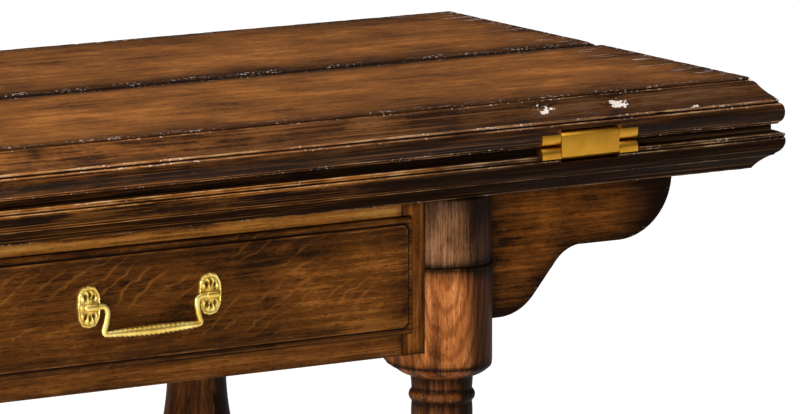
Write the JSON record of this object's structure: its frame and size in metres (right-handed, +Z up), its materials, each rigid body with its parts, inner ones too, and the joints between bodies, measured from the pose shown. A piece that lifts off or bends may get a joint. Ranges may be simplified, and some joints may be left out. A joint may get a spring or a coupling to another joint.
{
  "type": "hunt table",
  "caption": "Long wooden serving table on turned legs with drawers, whose moulded leaves flip outwards on brass hinges onto swinging brackets.",
  "frame": {"origin": "on the floor under the middle of the table", "axes": "+Z up, +X along the length to the right as seen from the drawers, +Y from the drawer side to the back"},
  "size_m": [1.727, 0.5086, 0.813],
  "materials": {
    "top_wood": "dark stained oak, waxed and worn",
    "leg_wood": "dark stained oak, waxed",
    "bracket_wood": "dark stained oak, waxed",
    "frame_wood": "stained oak, waxed",
    "drawer_front_wood": "stained quarter-sawn oak, waxed",
    "inner_wood": "unfinished oak",
    "hinge_brass": "satin",
    "pull_brass": "hammered, polished"
  },
  "bodies": {
    "frame": {"fixed_top": "top_wood", "legs": "leg_wood", "front_top_rail": "frame_wood", "front_bottom_rail": "frame_wood", "front_stile_left": "frame_wood", "front_stile_right": "frame_wood", "front_centre_stile": "frame_wood", "rear_apron": "frame_wood", "end_apron_left": "frame_wood", "end_apron_right": "frame_wood", "centre_partition": "inner_wood", "drawer_runners": "inner_wood", "drawer_kickers": "inner_wood", "top_cleats": "inner_wood", "front_hinge_lower_plates": "hinge_brass", "rear_hinge_lower_plates": "hinge_brass"},
    "front_links": {"front_hinge_links": "hinge_brass"},
    "front_leaf": {"front_leaf": "top_wood", "front_hinge_upper_plates": "hinge_brass"},
    "rear_links": {"rear_hinge_links": "hinge_brass"},
    "rear_leaf": {"rear_leaf": "top_wood", "rear_hinge_upper_plates": "hinge_brass"},
    "front_left_swing": {"knuckle_front_left": "leg_wood", "bracket_front_left": "bracket_wood"},
    "front_right_swing": {"knuckle_front_right": "leg_wood", "bracket_front_right": "bracket_wood"},
    "rear_left_swing": {"knuckle_rear_left": "leg_wood", "bracket_rear_left": "bracket_wood"},
    "rear_right_swing": {"knuckle_rear_right": "leg_wood", "bracket_rear_right": "bracket_wood"},
    "left_drawer": {"left_drawer_front": "drawer_front_wood", "left_drawer_inner_side": "inner_wood", "left_drawer_outer_side": "inner_wood", "left_drawer_back": "inner_wood", "left_drawer_bottom": "inner_wood", "left_pull_rosettes": "pull_brass"},
    "left_bail": {"left_pull_bail": "pull_brass"},
    "right_drawer": {"right_drawer_front": "drawer_front_wood", "right_drawer_inner_side": "inner_wood", "right_drawer_outer_side": "inner_wood", "right_drawer_back": "inner_wood", "right_drawer_bottom": "inner_wood", "right_pull_rosettes": "pull_brass"},
    "right_bail": {"right_pull_bail": "pull_brass"}
  },
  "joints": [
    {"name": "front_link_swing", "type": "hinge", "parent": "frame", "child": "front_links", "pos_m": [0, -0.248, 0.7687], "axis": [1, 0, 0], "range_deg": [0, 90]},
    {"name": "front_leaf_fold", "type": "hinge", "parent": "front_links", "child": "front_leaf", "pos_m": [0, -0.248, 0.781], "axis": [1, 0, 0], "range_deg": [0, 90]},
    {"name": "rear_link_swing", "type": "hinge", "parent": "frame", "child": "rear_links", "pos_m": [0, 0.248, 0.7687], "axis": [-1, 0, 0], "range_deg": [0, 90]},
    {"name": "rear_leaf_fold", "type": "hinge", "parent": "rear_links", "child": "rear_leaf", "pos_m": [0, 0.248, 0.781], "axis": [-1, 0, 0], "range_deg": [0, 90]},
    {"name": "front_left_bracket_swing", "type": "hinge", "parent": "frame", "child": "front_left_swing", "pos_m": [-0.5615, -0.1985, 0.708], "axis": [0, 0, 1], "range_deg": [0, 90]},
    {"name": "front_right_bracket_swing", "type": "hinge", "parent": "frame", "child": "front_right_swing", "pos_m": [0.5615, -0.1985, 0.708], "axis": [0, 0, -1], "range_deg": [0, 90]},
    {"name": "rear_left_bracket_swing", "type": "hinge", "parent": "frame", "child": "rear_left_swing", "pos_m": [-0.5615, 0.1985, 0.708], "axis": [0, 0, -1], "range_deg": [0, 90]},
    {"name": "rear_right_bracket_swing", "type": "hinge", "parent": "frame", "child": "rear_right_swing", "pos_m": [0.5615, 0.1985, 0.708], "axis": [0, 0, 1], "range_deg": [0, 90]},
    {"name": "left_drawer_slide", "type": "slide", "parent": "frame", "child": "left_drawer", "axis": [0, -1, 0], "range_m": [0, 0.28]},
    {"name": "left_bail_lift", "type": "hinge", "parent": "left_drawer", "child": "left_bail", "pos_m": [-0.26757, -0.2364, 0.6812], "axis": [-1, 0, 0], "range_deg": [0, 85]},
    {"name": "right_drawer_slide", "type": "slide", "parent": "frame", "child": "right_drawer", "axis": [0, -1, 0], "range_m": [0, 0.28]},
    {"name": "right_bail_lift", "type": "hinge", "parent": "right_drawer", "child": "right_bail", "pos_m": [0.26757, -0.2364, 0.6812], "axis": [-1, 0, 0], "range_deg": [0, 85]}
  ],
  "couplings": [
    {"joint": "front_leaf_fold", "follows": "front_link_swing", "ratio": 1},
    {"joint": "rear_leaf_fold", "follows": "rear_link_swing", "ratio": 1}
  ]
}
